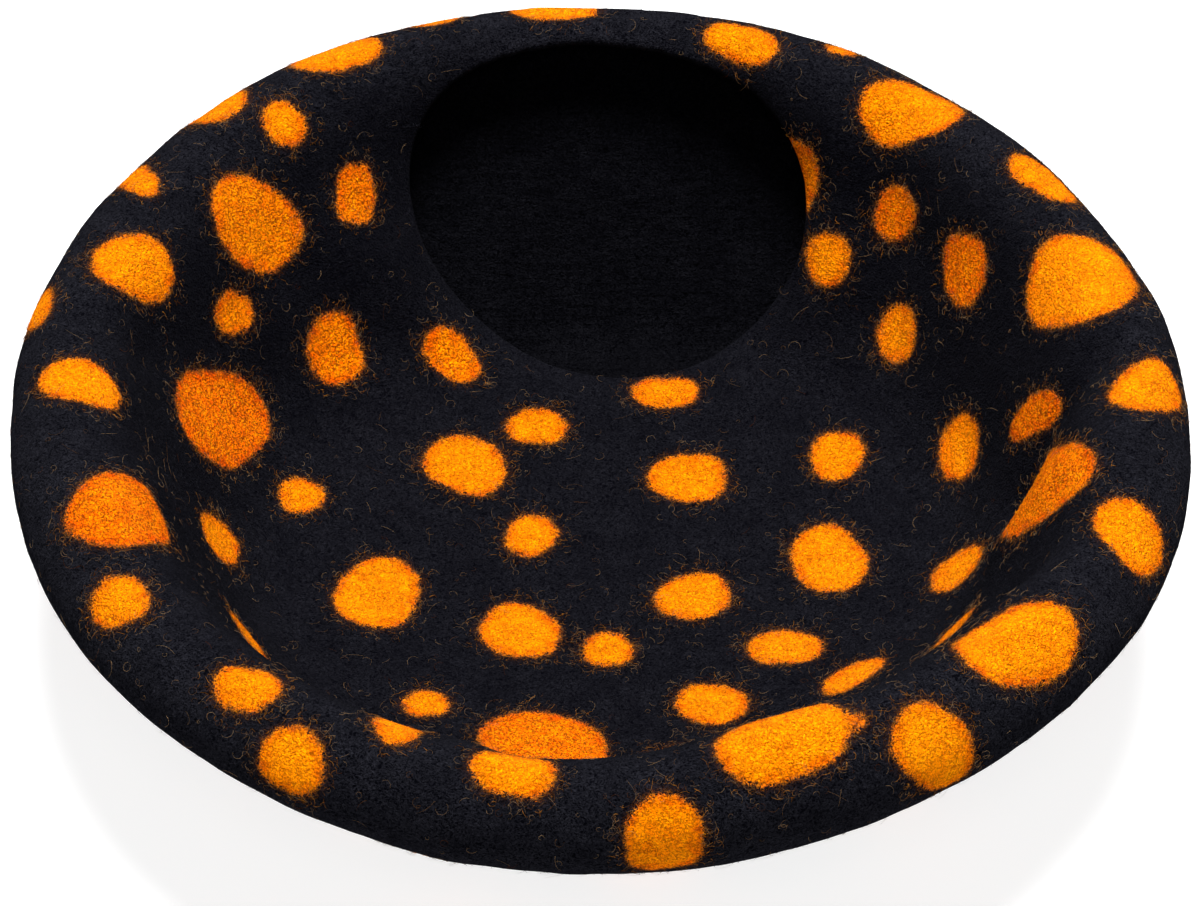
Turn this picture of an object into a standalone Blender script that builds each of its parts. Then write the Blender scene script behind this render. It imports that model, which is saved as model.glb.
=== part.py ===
"""Felt cat cave with its top pressed down, so that it lies as an open round bed.

It is one seamless skin of thick wool felt, made the way the real one is: as a hollow ball.
The lower half stands on a flat foot and flares out to a wide belly.  The upper half is
pushed down inside it, which leaves a soft rolled rim and a bowl to lie in.  The round
entrance was cut through the upper half, so it now lies in the back slope of the bowl and
looks down into the space between the two layers.

Metres, +Z up.  The foot rests on z = 0 and the origin is under the middle of the bed.
A bearing is an angle in degrees seen from above: 0 at the front (-Y), 90 at the right
(+X), 180 at the back, where the entrance is, and 270 at the left.
"""

import math
from collections import namedtuple

import bmesh
import bpy
from mathutils import Matrix, Vector, noise

MM = 0.001

# ---------------------------------------------------------------- driving sizes, in metres

FELT = 0.007  # thickness of the wool felt
BED_WIDTH = 0.520  # across the belly of the outer wall
FOOT_RADIUS = 0.142  # the flat ground face
LAYER_GAP = 0.003  # air between the pressed-down top and the base under it
FLOOR_HEIGHT = 2 * FELT + LAYER_GAP  # upper face of the bowl's floor

DOOR_WIDTH = 0.187  # the entrance along its longer axis
DOOR_HEIGHT = 0.156
DOOR_TURN = 22  # degrees that its longer axis drops to the right, seen from the front
DOOR_SLOPE = 46  # degrees below level, of the back slope that it is cut through
DOOR_MIDDLE = Vector((0.003, 0.172, 0.080))
CUT_DEPTH = 0.019  # the cutter's reach below the middle of the entrance
CUT_HEIGHT = 0.070  # and above it

UNEVEN_HEIGHT = 0.0016  # how far the felt wanders off its even shape
UNEVEN_SPACING = 0.060  # from one bump of it to the next
FLAT_BELOW = 0.045  # the felt is even at the foot and uneven above this height

BEARINGS = 72  # columns of faces round the bed
# Rings of faces between one stop of the profile and the next, from the foot inwards.
RINGS = (3, 2, 6, 3, 6, 7, 5, 4)
ROUNDNESS = 1.10  # of the profile between its stops: 1 is slack, 1.2 is full
SHARP_OVER = 45  # degrees between two faces whose edge isn't shaded smooth

# ------------------------------------------------------------------- the shape of the bed

# The profile of the felt's outer face, a row for each bearing where it changes.  Radii and
# heights in mm, the slope in degrees below level.
#   belly  the widest place of the outer wall
#   crest  the top of the rolled rim
#   wall   half way down the inside of the bowl, and how steep it is there
#   toe    where the wall runs out into the bowl's floor
Section = namedtuple(
    "Section",
    "bearing belly_r belly_z crest_r crest_z wall_r wall_z slope toe_r toe_z",
)
SECTIONS = (
    Section(0, 258, 112, 233, 138, 200, 94, 74, 142, 27),
    Section(22, 260, 116, 231, 146, 196, 98, 70, 142, 27),
    Section(45, 261, 114, 235, 142, 190, 92, 48, 134, 30),
    Section(68, 264, 114, 238, 140, 194, 88, 64, 142, 27),
    Section(95, 260, 114, 236, 142, 192, 90, 68, 144, 26),
    Section(125, 255, 114, 231, 142, 187, 86, 59, 138, 26),
    Section(150, 257, 114, 233, 141, 182, 84, 48, 128, 27),
    Section(180, 260, 114, 236, 140, 180, 86, 46, 118, 27),
    Section(210, 264, 114, 239, 140, 184, 84, 46, 124, 28),
    Section(240, 263, 113, 237, 139, 185, 80, 55, 130, 27),
    Section(270, 260, 112, 234, 138, 187, 81, 64, 140, 26),
    Section(300, 261, 112, 235, 138, 189, 83, 66, 142, 26),
    Section(335, 258, 112, 233, 137, 197, 90, 68, 142, 27),
)
# The outer wall is the same all round: radius, height, and slope above level.
HEEL = (0.169, 0.011, 42)
SHOULDER = (0.246, 0.089, 48)
TOE_SLOPE = 12

# Soft folds pressed into the rim and the bowl.  Each end is a bearing and a share of the way
# from the crest to the middle of the bowl, or to the middle of the foot if it is negative.
# Width and depth in mm; a negative depth is a ridge.
Fold = namedtuple("Fold", "start start_at end end_at width depth")
FOLDS = (
    Fold(262, 0.06, 258, 0.20, 20, 3),  # across the left rim
    Fold(258, 0.20, 244, 0.50, 26, 4),  # and on down the bowl
    Fold(64, 0.04, 58, 0.34, 24, 4),  # behind the front right of the rim
    Fold(79, 0.06, 75, 0.40, 16, -5),  # ridge to the right of it
    Fold(92, 0.10, 86, 0.42, 12, 7),  # valley behind that ridge
    Fold(140, 0.10, 132, 0.42, 28, 6),  # beside the entrance
    Fold(222, 0.32, 210, 0.56, 18, -4),  # bulge along the left of the entrance
    Fold(352, 0.16, 30, 0.16, 16, 4),  # the crease behind the front of the rim
    Fold(291, 0.04, 283, 0.22, 18, -3),  # fullness of the left rim
)


def section_at(bearing):
    """The section at this bearing, eased from the two rows on either side of it."""
    place = bearing % 360
    later = next((i for i, row in enumerate(SECTIONS) if row.bearing > place), 0)
    near = [SECTIONS[(later + step) % len(SECTIONS)] for step in (-2, -1, 0, 1)]
    span = (near[2].bearing - near[1].bearing) % 360
    t = ((place - near[1].bearing) % 360) / span
    shares = (
        -t * (1 - t) ** 2 / 2,
        (2 - 5 * t**2 + 3 * t**3) / 2,
        t * (1 + 4 * t - 3 * t**2) / 2,
        -(1 - t) * t**2 / 2,
    )
    columns = zip(*(row[1:] for row in near))
    return Section(bearing, *(sum(s * v for s, v in zip(shares, c)) for c in columns))


def stops_at(bearing):
    """(radius, height, heading in degrees) along the felt, from the foot into the bowl."""
    row = section_at(bearing)
    wider = BED_WIDTH / 2 - 260 * MM
    return (
        (0, 0, 0),
        (FOOT_RADIUS, 0, 0),
        HEEL,
        (SHOULDER[0] + wider, *SHOULDER[1:]),
        (row.belly_r * MM + wider, row.belly_z * MM, 90),
        (row.crest_r * MM + wider, row.crest_z * MM, 180),
        (row.wall_r * MM + wider, row.wall_z * MM, 180 + row.slope),
        (row.toe_r * MM, row.toe_z * MM, 180 + TOE_SLOPE),
        (0, FLOOR_HEIGHT, 180),
    )


CREST = 5  # the crest's place among the stops


def even_point(bearing, ring):
    """A point of the felt's outer face while it is even: ring is a stop's place and a share."""
    stops = stops_at(bearing)
    part = min(int(ring), len(RINGS) - 1)
    t = ring - part
    (r0, z0, out0), (r1, z1, out1) = stops[part], stops[part + 1]
    reach = ROUNDNESS * math.hypot(r1 - r0, z1 - z0)
    if part == 0:
        reach = r1  # the foot is flat, with its rings evenly spaced
    shares = (1 + 2 * t) * (1 - t) ** 2, t * (1 - t) ** 2 * reach, t * t * (t - 1) * reach
    start, leave, arrive = shares
    slopes = math.radians(out0), math.radians(out1)
    r = start * r0 + (1 - start) * r1
    z = start * z0 + (1 - start) * z1
    r += leave * math.cos(slopes[0]) + arrive * math.cos(slopes[1])
    z += leave * math.sin(slopes[0]) + arrive * math.sin(slopes[1])
    angle = math.radians(bearing)
    return Vector((r * math.sin(angle), -r * math.cos(angle), z))


def at_share(bearing, share):
    """The point a share of the way from the crest to the middle of the bowl or of the foot."""
    steps = len(RINGS) - CREST if share > 0 else CREST
    return even_point(bearing, CREST + share * steps)


def fold_depth(point):
    """How deep the folds press the felt in at this point of its face."""
    depth = 0.0
    for fold in FOLDS:
        start = at_share(fold.start, fold.start_at)
        run = at_share(fold.end, fold.end_at) - start
        t = max(0.0, min(1.0, (point - start).dot(run) / run.length_squared))
        away = (point - start - t * run).length / (fold.width * MM)
        depth += fold.depth * MM * math.exp(-away * away)
    return depth


def make_uneven(skin):
    """Moves the points of an even skin to where the folded, uneven felt has them."""
    skin.normal_update()
    shifts = []
    for vert in skin.verts:
        free = min(1.0, vert.co.z / FLAT_BELOW)
        wander = noise.noise(vert.co / UNEVEN_SPACING) * UNEVEN_HEIGHT
        shifts.append(vert.normal * free * (wander - fold_depth(vert.co)))
    for vert, shift in zip(skin.verts, shifts):
        vert.co += shift


# ------------------------------------------------------------------------------ modelling


def clear_scene():
    for old in list(bpy.data.objects):
        bpy.data.objects.remove(old)


def collection_named(name):
    made = bpy.data.collections.new(name)
    bpy.context.scene.collection.children.link(made)
    return made


def felt_material():
    """Charcoal wool felt."""
    made = bpy.data.materials.new("charcoal wool felt")
    made.use_nodes = True
    shader = made.node_tree.nodes["Principled BSDF"]
    shader.inputs["Base Color"].default_value = (0.010, 0.010, 0.013, 1)
    shader.inputs["Roughness"].default_value = 0.95
    shader.inputs["Metallic"].default_value = 0.0
    return made


def object_from(name, shape, collection):
    mesh = bpy.data.meshes.new(name)
    shape.to_mesh(mesh)
    shape.free()
    made = bpy.data.objects.new(name, mesh)
    collection.objects.link(made)
    return made


def felt_shell(collection):
    """The whole skin: a ball whose upper half is pushed down inside the lower one."""
    ball = bmesh.new()
    levels = sum(RINGS)
    bmesh.ops.create_uvsphere(ball, u_segments=BEARINGS, v_segments=levels, radius=1)
    rings = [part + k / count for part, count in enumerate(RINGS) for k in range(count)]
    rings.append(len(RINGS))
    for vert in ball.verts:
        latitude = math.asin(max(-1.0, min(1.0, vert.co.z)))
        level = round((latitude / math.pi + 0.5) * levels)
        bearing = math.degrees(math.atan2(vert.co.x, -vert.co.y))
        vert.co = even_point(bearing, rings[level])
    bmesh.ops.recalc_face_normals(ball, faces=ball.faces)
    make_uneven(ball)
    made = object_from("felt_shell", ball, collection)
    solidify = made.modifiers.new("felt thickness", "SOLIDIFY")
    solidify.thickness = FELT
    solidify.offset = -1
    solidify.use_even_offset = True
    return made


def door_cutter(collection):
    """An oval post that stands square to the back slope, where the entrance is."""
    post = bmesh.new()
    bmesh.ops.create_cone(
        post, cap_ends=True, segments=64, radius1=0.5, radius2=0.5, depth=1
    )
    lift = Matrix.Translation((0, 0, (CUT_HEIGHT - CUT_DEPTH) / 2))
    size = Matrix.Diagonal((DOOR_WIDTH, DOOR_HEIGHT, CUT_HEIGHT + CUT_DEPTH, 1))
    turn = Matrix.Rotation(math.radians(-DOOR_TURN), 4, "Z")
    lean = Matrix.Rotation(math.radians(DOOR_SLOPE), 4, "X")
    place = Matrix.Translation(DOOR_MIDDLE)
    bmesh.ops.transform(post, matrix=place @ lean @ turn @ lift @ size, verts=post.verts)
    made = object_from("door_cutter", post, collection)
    made.hide_render = True
    made.display_type = "WIRE"
    return made


def shade_with_sharp_cut(shell):
    """Keeps the modified mesh, smooth all over but along the edges of the cut."""
    graph = bpy.context.evaluated_depsgraph_get()
    mesh = bpy.data.meshes.new_from_object(shell.evaluated_get(graph))
    shell.modifiers.clear()
    shell.data = mesh
    mesh.shade_smooth()
    mesh.set_sharp_from_angle(angle=math.radians(SHARP_OVER))


def main():
    clear_scene()
    parts = collection_named("felt cat cave")
    cutters = collection_named("cutters")
    shell = felt_shell(parts)
    shell.data.materials.append(felt_material())
    entrance = shell.modifiers.new("entrance", "BOOLEAN")
    entrance.operation = "DIFFERENCE"
    entrance.object = door_cutter(cutters)
    shade_with_sharp_cut(shell)


if __name__ == "__main__":
    main()
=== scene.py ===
"""Looks of a felt cat cave with its top pressed in, so that it lies as an open round bed.

It is one skin of thick charcoal wool felt with soft-edged orange dots felted into it, and the
loose wool fibres that stand off its face.  The script is laid out as an add-on.

Metres, +Z up.  The foot rests on z = 0 and the origin is under the middle of the bed.  A
bearing is an angle in degrees seen from above: 0 at the front (-Y), 90 at the right (+X),
180 at the back, where the entrance is, and 270 at the left.  A place on the felt is a bearing
and a distance along the felt from the crest of the rim, in mm, which grows towards the middle
of the bowl and is negative on the outer wall and the foot.
"""

import math
from collections import namedtuple

import bmesh
import bpy
import numpy as np
from bpy.props import FloatProperty, FloatVectorProperty, IntProperty, PointerProperty
from bpy.types import Operator, Panel, PropertyGroup
from mathutils import Matrix, Vector, noise


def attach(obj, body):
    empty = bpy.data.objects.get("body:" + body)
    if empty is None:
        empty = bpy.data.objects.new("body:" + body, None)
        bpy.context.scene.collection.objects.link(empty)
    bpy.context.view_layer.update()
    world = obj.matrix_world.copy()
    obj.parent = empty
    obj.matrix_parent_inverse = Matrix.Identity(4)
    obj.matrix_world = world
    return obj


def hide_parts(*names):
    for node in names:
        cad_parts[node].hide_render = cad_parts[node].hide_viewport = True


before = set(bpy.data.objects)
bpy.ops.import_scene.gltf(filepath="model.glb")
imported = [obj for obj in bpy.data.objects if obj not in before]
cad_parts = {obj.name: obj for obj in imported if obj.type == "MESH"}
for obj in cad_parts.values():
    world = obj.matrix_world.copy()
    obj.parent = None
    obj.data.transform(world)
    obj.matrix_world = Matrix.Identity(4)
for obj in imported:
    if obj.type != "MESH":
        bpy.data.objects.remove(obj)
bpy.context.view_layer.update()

bl_info = {
    "name": "Felt cat cave",
    "version": (1, 0, 0),
    "blender": (4, 5, 0),
    "location": "3D View > Sidebar > Felt cave",
    "description": "A felt cat cave pressed down to an open bed, with its dots and its fuzz",
    "category": "Add Mesh",
}

MM = 0.001

# ------------------------------------------------------------------- the shape of the bed

FOOT_RADIUS = 0.142  # the flat ground face
UNEVEN_HEIGHT = 0.0016  # how far the felt wanders off its even shape
UNEVEN_SPACING = 0.060  # from one bump of it to the next
FLAT_BELOW = 0.045  # the felt is even at the foot and uneven above this height
ROUNDNESS = 1.10  # of the profile between its stops: 1 is slack, 1.2 is full
PROFILE_STEPS = 1600  # that a profile is measured in, from the foot to the middle of the bowl

DOOR_TURN = 22  # degrees that the entrance's longer axis drops to the right
DOOR_SLOPE = 46  # degrees below level, of the back slope that it is cut through
DOOR_MIDDLE = Vector((0.003, 0.172, 0.080))  # of the entrance
CUT_DEPTH = 0.019  # how far the cut reaches in from that middle
CUT_HEIGHT = 0.070  # and how far out
CUT_HALVINGS = 14  # steps in which a point is pulled up to the edge of the cut

# The profile of the felt's outer face, a row for each bearing where it changes.  Radii and
# heights in mm, the slope in degrees below level.
#   belly  the widest place of the outer wall
#   crest  the top of the rolled rim
#   wall   half way down the inside of the bowl, and how steep it is there
#   toe    where the wall runs out into the bowl's floor
Section = namedtuple(
    "Section",
    "bearing belly_r belly_z crest_r crest_z wall_r wall_z slope toe_r toe_z",
)
SECTIONS = (
    Section(0, 258, 112, 233, 138, 200, 94, 74, 142, 27),
    Section(22, 260, 116, 231, 146, 196, 98, 70, 142, 27),
    Section(45, 261, 114, 235, 142, 190, 92, 48, 134, 30),
    Section(68, 264, 114, 238, 140, 194, 88, 64, 142, 27),
    Section(95, 260, 114, 236, 142, 192, 90, 68, 144, 26),
    Section(125, 255, 114, 231, 142, 187, 86, 59, 138, 26),
    Section(150, 257, 114, 233, 141, 182, 84, 48, 128, 27),
    Section(180, 260, 114, 236, 140, 180, 86, 46, 118, 27),
    Section(210, 264, 114, 239, 140, 184, 84, 46, 124, 28),
    Section(240, 263, 113, 237, 139, 185, 80, 55, 130, 27),
    Section(270, 260, 112, 234, 138, 187, 81, 64, 140, 26),
    Section(300, 261, 112, 235, 138, 189, 83, 66, 142, 26),
    Section(335, 258, 112, 233, 137, 197, 90, 68, 142, 27),
)
CHARTED_RADIUS = 260  # mm, of the bed that the sections are given for
# The outer wall is the same all round: radius, height, and slope above level.
HEEL = (0.169, 0.011, 42)
SHOULDER = (0.246, 0.089, 48)
TOE_SLOPE = 12  # at the toe, in degrees below level
CREST = 5  # the crest's place among the stops of a profile
LAST_RING = 8  # the middle of the bowl's place among them
TYPICAL_BEARING = 90  # whose profile stands for the mean one
# Painted shade in the bowl, more on its wall than on its floor: how much of the black's pale
# wisps it takes away, from 0 for none to 1 for all, at these places among the stops.
BOWL_SHADE_AT = (5.0, 5.5, 6.2, 6.9)
BOWL_SHADE = (0.0, 0.65, 0.65, 0.36)

# Soft folds pressed into the rim and the bowl.  Each end is a bearing and a share of the way
# from the crest to the middle of the bowl, or to the middle of the foot if it is negative.
# Width and depth in mm; a negative depth is a ridge.
Fold = namedtuple("Fold", "start start_at end end_at width depth")
FOLDS = (
    Fold(262, 0.06, 258, 0.20, 20, 3),  # across the left rim
    Fold(258, 0.20, 244, 0.50, 26, 4),  # and on down the bowl
    Fold(64, 0.04, 58, 0.34, 24, 4),  # behind the front right of the rim
    Fold(79, 0.06, 75, 0.40, 16, -5),  # ridge to the right of it
    Fold(92, 0.10, 86, 0.42, 12, 7),  # valley behind that ridge
    Fold(140, 0.10, 132, 0.42, 28, 6),  # beside the entrance
    Fold(222, 0.32, 210, 0.56, 18, -4),  # bulge along the left of the entrance
    Fold(352, 0.16, 30, 0.16, 16, 4),  # the crease behind the front of the rim
    Fold(291, 0.04, 283, 0.22, 18, -3),  # fullness of the left rim
)

# Small lumps that only the fine skin can hold: height and spacing in mm.
LUMPS = ((0.55, 21), (0.22, 9))
# The edge of the entrance turns in, by so much over this distance.
TURN_IN = 0.008
TURN_IN_OVER = 0.026
TURN_IN_OPENS = 0.004  # as it turns in it spreads by so much, so it is cut that much closer

FINENESS = 7  # of the ball that becomes the skin: 81,920 triangles on each face
LIP_STEPS = 8  # faces round the soft edge of the entrance

# ------------------------------------------------------------------------------- the dots

# Orange wool felted into the black, charted one by one.  A dot lies at a bearing and a distance
# along the felt.  Its width and length are in mm, with the width turned by so many degrees
# from level towards the middle of the bowl.  An egg is narrower at one end of its length, by
# that share, and a form of 2 is an oval, of 3 a rounded square.  The last value, from 0 to 1,
# darkens the dot, with more of the dark wool showing through it: a little of it is orange felted
# thinner, and the high values, on the dots in the bowl and on the left rim, are painted shade.
# A dot's place in the list sets the waver of its edge.
Dot = namedtuple("Dot", "bearing along width length turn egg form thin", defaults=(0.2,))
DOTS = (
    # round the rim, from the front to the right, the back and the left
    Dot(6, -32, 33, 39, 0, 0.16, 2.4, 0.25),
    Dot(18.5, -2, 37, 58, -86, -0.12, 2.3),
    Dot(26.5, -5, 9, 9, 5, 0, 2, 0.5),
    Dot(33, -30, 33, 47, 26, -0.25, 2.3, 0.05),
    Dot(47, -5, 57, 40, -22, 0, 2.3),
    Dot(66.8, -11, 30, 42, -26, 0, 2.3),
    Dot(87.2, -6, 41, 30, -52, 0, 2.4),
    Dot(105, 13, 50, 58, -40, -0.15, 2.3),
    Dot(121, -6, 40, 22, 12, 0, 2.3),
    Dot(140, 6, 37, 52, -54, -0.25, 2.3, 0.3),
    Dot(152, -10, 16, 14, 0, 0, 2),
    Dot(163, 4, 39, 23, -13, 0, 2.2),
    Dot(185, -20, 43, 30, -5, 0, 2.2),
    Dot(198, -15, 25, 16, 0, 0, 2),
    Dot(210.5, -7, 46, 28, -15, 0, 2.3),
    Dot(221.3, 18, 21, 24, 0, 0, 2.2),
    Dot(225, -15, 32, 30, 0, 0, 2.2),
    Dot(239, -12, 38, 17, 62, 0, 2.2),
    Dot(251, 17, 44, 34, 118, 0, 2.2),
    Dot(259, -25, 30, 20, 20, 0, 2.2),
    Dot(271.5, 7, 41, 28, 80, 0, 2.2),
    Dot(292, 17, 55, 43, -62, 0.1, 2.3, 1.0),
    Dot(304, -9, 28, 26, 50, 0, 2.3),
    Dot(322, -2, 30, 24, 30, 0, 2.2),
    Dot(330, -22, 31, 29, 0, 0, 2.2, 0.05),
    Dot(338, 13, 21, 26, 20, 0, 2.2),
    Dot(351.4, 0.5, 37, 27, -12, 0, 2.1, 0.1),
    # on the walls of the bowl
    Dot(14, 168, 28, 14, 0, 0, 2),
    Dot(53, 151, 35, 17, -13, 0, 2.1),
    Dot(78, 57, 44, 88, -27, -0.1, 2.1, 0.7),
    Dot(94, 66, 18, 42, -20, 0, 2.2, 0.8),
    Dot(121, 56, 34, 30, -58, 0, 2.3, 0.7),
    Dot(136, 58, 27, 23, 78, 0, 2.2, 0.7),
    Dot(143, 93, 27, 24, -70, 0, 2.2),
    Dot(154.2, 71, 54, 35, 68, 0, 2.0, 0.5),
    Dot(216, 64, 29, 22, 64, 0, 2.8, 0.7),
    Dot(232, 49, 41, 55, 27, 0, 2.2, 0.5),
    Dot(242, 74, 21, 25, 50, 0, 2.1, 0.5),
    Dot(230, 122, 29, 35, -20, 0, 2.3, 0.6),
    Dot(256, 98, 69, 47, -42, 0, 2.0, 1.0),
    Dot(276.5, 113, 24, 30, 0, 0, 2.2),
    # on the floor of the bowl
    Dot(211, 153, 22, 33, 17, 0, 2.3, 0.6),
    Dot(200, 204, 30, 22, -18, 0, 2.2),
    Dot(163, 181, 33, 21, 16, 0, 2.3, 0.4),
    Dot(258, 152, 24, 20, -43, 0, 2.2),
    Dot(321, 172, 22, 18, 48, 0, 2.2),
    Dot(348.5, 171, 59, 48, -4, 0, 1.8, 0.8),
    Dot(4, 239, 24, 22, -5, 0, 2.2),
    Dot(28, 191, 35, 25, -54, 0, 2.2),
    Dot(54, 190, 35, 25, -56, 0, 2.3),
    Dot(60, 246, 36, 30, -40, 0, 2.2),
    Dot(88, 196, 44, 34, 20, 0, 2.3),
    Dot(118, 170, 30, 26, -30, 0, 2.2),
    Dot(140, 226, 38, 30, 40, 0, 2.2),
    Dot(228, 208, 34, 40, 15, 0, 2.3),
    Dot(246, 258, 27, 24, 0, 0, 2.2),
    Dot(284, 192, 46, 38, -35, 0, 2.3),
    Dot(322, 236, 38, 34, 10, 0, 2.2),
    # on the front and right walls of the bowl, where the photograph doesn't show them
    Dot(4, 84, 34, 28, 10, 0, 2.2),
    Dot(27, 92, 30, 36, -20, 0, 2.2),
    Dot(62, 106, 26, 22, 0, 0, 2.2),
    Dot(81, 133, 24, 30, 15, 0, 2.2),
    Dot(104, 120, 32, 28, -30, 0, 2.3),
    Dot(127, 106, 24, 28, 20, 0, 2.2),
    Dot(300, 104, 32, 26, 0, 0, 2.2),
    Dot(315, 80, 30, 38, -15, 0, 2.3),
    Dot(336, 92, 38, 32, 20, 0, 2.2),
    Dot(352, 122, 24, 20, 0, 0, 2.2),
    # under the front left of the belly
    Dot(343, -71, 30, 28, 0, 0, 2.2),
)
# Staggered rows of dots of many sizes go on below those, over the outer wall and the foot,
# which the photograph doesn't show.  Distances and sizes in mm.
DotRow = namedtuple("DotRow", "along count first smallest largest")
DOT_ROWS = (
    DotRow(-92, 12, 358, 24, 42),
    DotRow(-132, 12, 13, 22, 44),
    DotRow(-180, 9, 4, 24, 44),
    DotRow(-240, 7, 40, 24, 48),
    DotRow(-308, 3, 10, 26, 46),
)
ROW_SEED = 5
ROW_SHIFT = 0.13  # most that a dot strays along its row, as a share of the step to the next
ROW_DRIFT = 7  # mm, most that it strays off the row
ROW_TURN = 60  # degrees, most that it is turned
ROW_SLENDEREST = 0.7  # least width or length, as a share of their mean
ROW_WIDEST = 52  # mm
ROW_EGG, ROW_FORM = 0.1, 2.3
DOT_MARGIN = 32  # mm, how far outside a dot the distance to it is known
DOT_REACH = 95  # mm along the felt, past which a dot is on another layer
WAVER = ((3, 0.035), (5, 0.015))  # waves round a dot's edge, and their share of its size

# --------------------------------------------------------------------------------- fibres

# Loose wool on the outer face.  Lengths and widths in mm; curl is the most that a fibre turns,
# in degrees, and lift how steeply it starts off the felt.  A fibre grows where the distance to
# the nearest dot's edge is between near and far: positive is inside a dot, in mm.  Real wool is
# about 0.03 mm thick.  It is drawn 0.12 to 0.16 mm thick, and so with fewer fibres, so that it
# shows in the picture.
Fuzz = namedtuple("Fuzz", "name count steps shortest longest width curl lift near far wool")
FUZZ = (
    Fuzz("black_fuzz", 9000, 2, 1.5, 4.0, 0.16, 150, 60, -99, 2, "black"),
    Fuzz("black_wisps", 8000, 3, 3.0, 7.0, 0.13, 220, 35, -99, 3, "black"),
    Fuzz("stray_curls", 1500, 7, 4.0, 12.0, 0.12, 420, 30, -99, -6, "brown"),
    Fuzz("brown_curls", 6900, 5, 3.0, 9.0, 0.12, 400, 35, -8, 2, "brown"),
    Fuzz("edge_fuzz", 12400, 3, 2.0, 6.0, 0.14, 220, 35, -5, 3, "edge"),
    Fuzz("orange_fuzz", 9000, 2, 1.2, 3.2, 0.16, 130, 40, 0, 40, "orange"),
)
FUZZ_ABOVE = 0.004  # no fibre grows lower than this
UNDERNEATH = -0.3  # where the felt's normal dips below this, its fibres are worn sparser
SPARSER = 0.3  # share of the fibres that grow there
LEAST_LIFT = 0.3  # the flattest start, as a share of the steepest
STEEPEST_RISE = 10  # degrees that a fibre's tip may still rise
TAPER = 0.6  # share of its width that a fibre loses towards its tip

# ------------------------------------------------------------------------------- the stage

IMAGE_SIZE = (1200, 906)
ORIGIN_PIXEL = (599, 583)  # where the photograph has the point under the middle of the bed
PIXELS_PER_METRE = 2171  # at that point's distance
SENSOR_WIDTH = 36  # mm
CLIP_END = 50
FLOOR_HALF_SIZE = 4.0
FLOOR_DROP = 0.0003  # below the foot, so that the two faces don't fight
KEY_SIZE, KEY_PLACE = 1.3, (0.1, 0.4, 2.9)
FILL_SIZE, FILL_PLACE = 1.2, (0, -1.9, 2.0)
LIGHTS_AIM = Vector((0, 0, 0.05))
WALLS_UP_TO, CEILING_FROM = 0.05, 0.5  # of the room: the sine of the angle above level


def linear(hex_colour):
    """The linear red, green and blue of an sRGB colour such as "FF9C0A"."""
    channels = (int(hex_colour[i : i + 2], 16) / 255 for i in (0, 2, 4))
    return tuple(c / 12.92 if c <= 0.04045 else ((c + 0.055) / 1.055) ** 2.4 for c in channels)


# ------------------------------------------------------------------------------- settings


def length_property(name, description, default):
    """A length in metres."""
    return FloatProperty(
        name=name, description=description, default=default, unit="LENGTH", precision=4
    )


def colour_property(name, description, hex_colour):
    """A colour, given by its sRGB hex value."""
    return FloatVectorProperty(
        name=name, description=description, default=linear(hex_colour), subtype="COLOR"
    )


class FeltShape(PropertyGroup):
    """Sizes of the bed and of its entrance"""

    thickness: length_property("Felt thickness", "Thickness of the wool felt", 0.007)
    bed_width: length_property("Bed width", "Across the belly of the outer wall", 0.520)
    layer_gap: length_property("Layer gap", "Air between the pressed-in top and the base", 0.003)
    door_width: length_property("Entrance width", "Along the entrance's longer axis", 0.187)
    door_height: length_property("Entrance height", "Along its shorter axis", 0.156)


class WoolColours(PropertyGroup):
    """Colours of the dyed wool"""

    black: colour_property("Black wool", "The ground of the felt", "030306")
    black_wisp: colour_property("Black wisps", "Fibres of it that catch the light", "25252B")
    brown: colour_property("Brown wool", "Stray curls round the dots", "80684C")
    brown_orange: colour_property("Golden brown wool", "Fibres at the dots' edges", "9A6220")
    orange: colour_property("Orange wool", "The dots", "FF9C02")
    orange_deep: colour_property("Deep orange", "Fibres that lie lower in the dots", "E05200")
    orange_dark: colour_property("Dark orange", "Dark fibres across the dots", "3A1803")


class StageLook(PropertyGroup):
    """The camera and the light"""

    camera_distance: length_property("Camera distance", "From the lens to the bed", 2.2)
    camera_angle: FloatProperty(
        name="Camera angle",
        description="How far above level the camera stands",
        default=math.radians(45.5),
        subtype="ANGLE",
    )
    key_power: FloatProperty(
        name="Key light", description="Power of the large soft light", default=228, unit="POWER"
    )
    fill_power: FloatProperty(
        name="Fill light", description="Power of the soft light in front", default=16, unit="POWER"
    )
    overhead: FloatProperty(
        name="Room light overhead", description="Brightness of the room's ceiling", default=0.18
    )
    around: FloatProperty(
        name="Room light around", description="Brightness of the room's walls", default=0.30
    )


class FeltCaveSettings(PropertyGroup):
    """All that a user would change"""

    shape: PointerProperty(type=FeltShape)
    wool: PointerProperty(type=WoolColours)
    stage: PointerProperty(type=StageLook)
    seed: IntProperty(name="Seed", description="Another seed lays the fibres anew", default=7)


# ------------------------------------------------------------------- the felt as a surface


def sections_at(bearings):
    """A row of section values for each bearing, eased from the rows on either side of it."""
    starts = np.array([row.bearing for row in SECTIONS], float)
    values = np.array([row[1:] for row in SECTIONS], float)
    places = np.asarray(bearings, float) % 360
    later = np.searchsorted(starts, places, side="right")
    near = [(later + step) % len(starts) for step in (-2, -1, 0, 1)]
    span = (starts[near[2]] - starts[near[1]]) % 360
    t = ((places - starts[near[1]]) % 360) / span
    shares = (
        -t * (1 - t) ** 2 / 2,
        (2 - 5 * t**2 + 3 * t**3) / 2,
        t * (1 + 4 * t - 3 * t**2) / 2,
        -(1 - t) * t**2 / 2,
    )
    return sum(share[:, None] * values[row] for share, row in zip(shares, near))


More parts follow.
